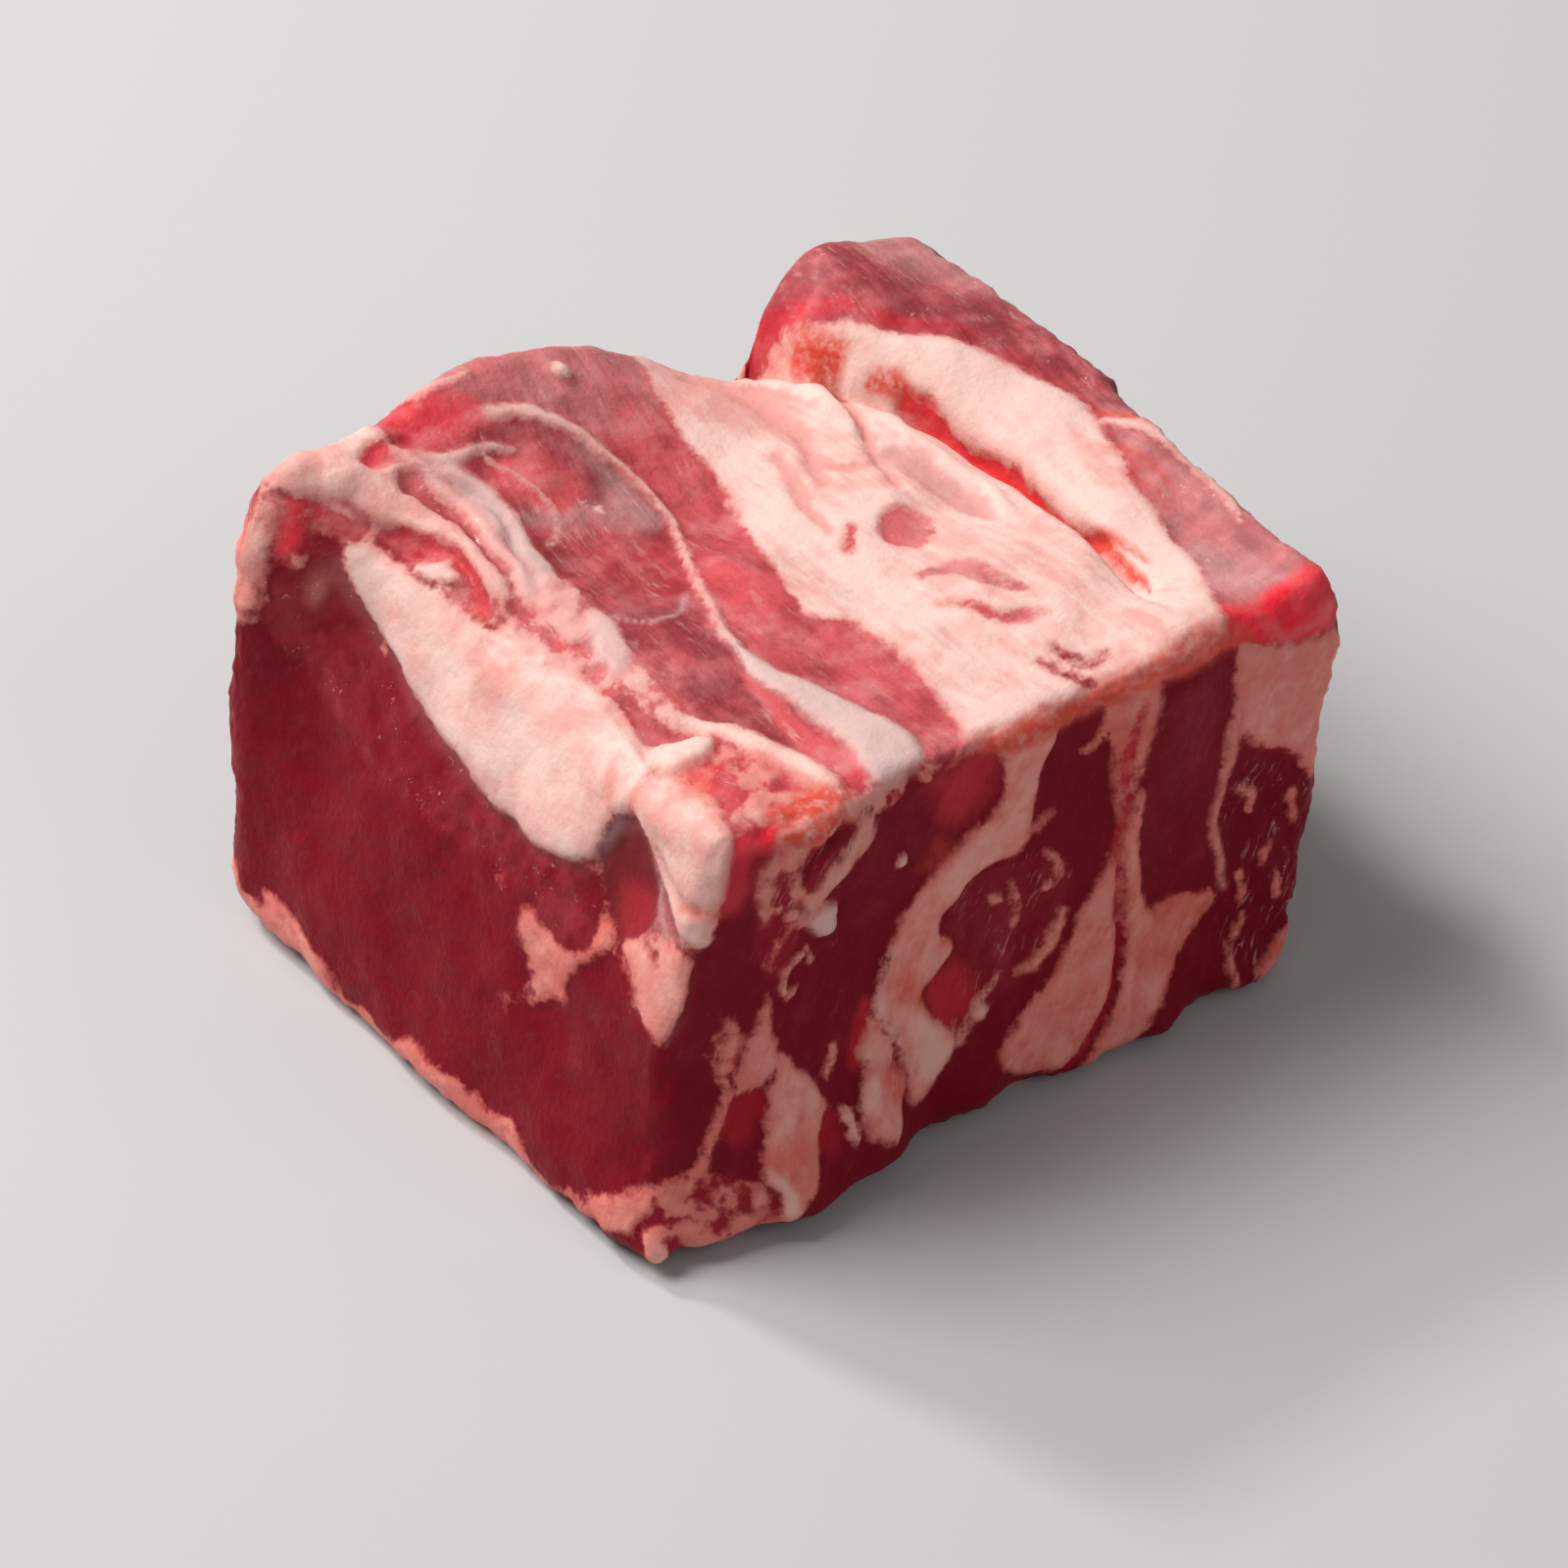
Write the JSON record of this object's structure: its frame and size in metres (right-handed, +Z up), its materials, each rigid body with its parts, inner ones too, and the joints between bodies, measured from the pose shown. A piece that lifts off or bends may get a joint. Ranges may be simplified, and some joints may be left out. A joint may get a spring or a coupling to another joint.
{
  "type": "raw boneless meat chunk",
  "caption": "Raw boneless stewing chunk of red meat, cut square across layers of lean and fat, with a fat rind along one edge and a raised fat flap on top.",
  "frame": {"origin": "bottom centre of the chunk's box, on the flat underside that it rests on", "axes": "+X along the longest side of the block, to the slab with the crease; -Y is the steep cut face with the foot that spreads; +Z up, the block's shortest side"},
  "size_m": [0.0812, 0.0734, 0.0499],
  "materials": {
    "meat": "moist raw meat: dark red lean bands, cream to pink fat seams and rind, with a wet gloss in spots"
  },
  "bodies": {
    "root": {"meat_chunk": "meat"}
  },
  "joints": []
}
